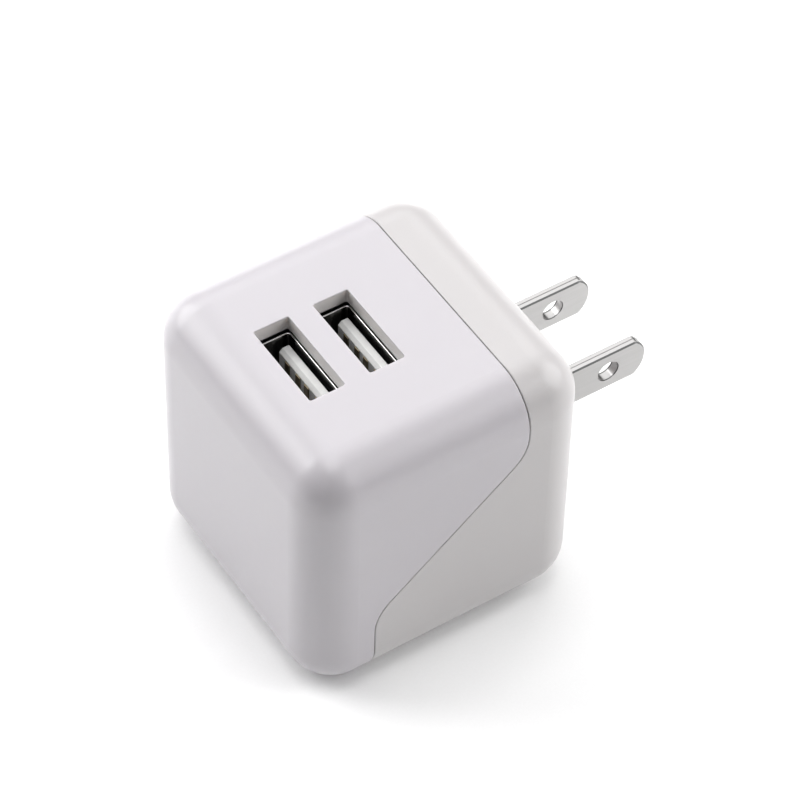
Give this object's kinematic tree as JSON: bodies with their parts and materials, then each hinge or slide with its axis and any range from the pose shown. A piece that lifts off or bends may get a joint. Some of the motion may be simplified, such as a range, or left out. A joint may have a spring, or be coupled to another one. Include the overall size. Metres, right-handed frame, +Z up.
{
  "type": "usb wall charger",
  "caption": "Rounded-cube mains adapter with fixed flat blades on one face, side-by-side USB-A sockets on the next face, and an S-shaped seam between its front and rear shells.",
  "frame": {"origin": "middle of the housing's flat bottom, the face opposite the USB ports, directly below the middle of the cube", "axes": "+Z up to the face with the USB ports, +Y along the blades towards the outlet, X from one blade to the other"},
  "size_m": [0.0404, 0.059, 0.041],
  "materials": {
    "housing_plastic": "satin-gloss white moulded ABS/PC",
    "blade_metal": "nickel-plated brass, satin",
    "retainer_plastic": "moulded natural white plastic",
    "lead_black": "black PVC-insulated wire",
    "lead_white": "white PVC-insulated wire",
    "board_laminate": "green glass-epoxy circuit board",
    "solder": "bright tin solder",
    "pin_metal": "tinned copper wire",
    "socket_steel": "bright nickel-plated steel",
    "socket_insulator": "white PBT moulding",
    "contact_gold": "gold-flashed phosphor bronze",
    "ferrite": "matt dark grey sintered ferrite",
    "bobbin_phenolic": "black phenolic",
    "winding_copper": "enamelled copper wire",
    "winding_tape": "yellow polyester tape",
    "can_aluminium": "drawn aluminium",
    "sleeve_dark": "dark heat-shrunk sleeve",
    "disc_blue": "blue epoxy-dipped ceramic disc",
    "fuse_green": "grey-green flameproof coating",
    "chip_black": "black epoxy moulding",
    "card_beige": "pressed insulation card"
  },
  "bodies": {
    "root": {"blade_left": "blade_metal", "blade_retainer": "retainer_plastic", "blade_right": "blade_metal", "board_link_pins": "pin_metal", "bridge_rectifier": "chip_black", "bulk_capacitor_1_can": "can_aluminium", "bulk_capacitor_1_leads": "pin_metal", "bulk_capacitor_1_sleeve": "sleeve_dark", "bulk_capacitor_2_can": "can_aluminium", "bulk_capacitor_2_leads": "pin_metal", "bulk_capacitor_2_sleeve": "sleeve_dark", "chip_resistors": "chip_black", "choke_coil": "winding_copper", "choke_core": "ferrite", "choke_leads": "pin_metal", "front_housing": "housing_plastic", "fuse_body": "fuse_green", "fuse_leads": "pin_metal", "insulation_sheet": "card_beige", "lead_line": "lead_black", "lead_neutral": "lead_white", "main_board": "board_laminate", "main_board_solder": "solder", "optocoupler": "chip_black", "output_capacitor_1_can": "can_aluminium", "output_capacitor_1_leads": "pin_metal", "output_capacitor_1_sleeve": "sleeve_dark", "output_capacitor_2_can": "can_aluminium", "output_capacitor_2_leads": "pin_metal", "output_capacitor_2_sleeve": "sleeve_dark", "output_diode": "chip_black", "port_controller": "chip_black", "power_controller": "chip_black", "rear_housing": "housing_plastic", "safety_capacitor": "disc_blue", "transformer_bobbin": "bobbin_phenolic", "transformer_core_lower": "ferrite", "transformer_core_upper": "ferrite", "transformer_pins": "pin_metal", "transformer_tape": "winding_tape", "transformer_winding": "winding_copper", "usb_board": "board_laminate", "usb_board_solder": "solder", "usb_contacts_front": "contact_gold", "usb_contacts_rear": "contact_gold", "usb_insulator_front": "socket_insulator", "usb_insulator_rear": "socket_insulator", "usb_shell_front": "socket_steel", "usb_shell_rear": "socket_steel"}
  },
  "joints": []
}
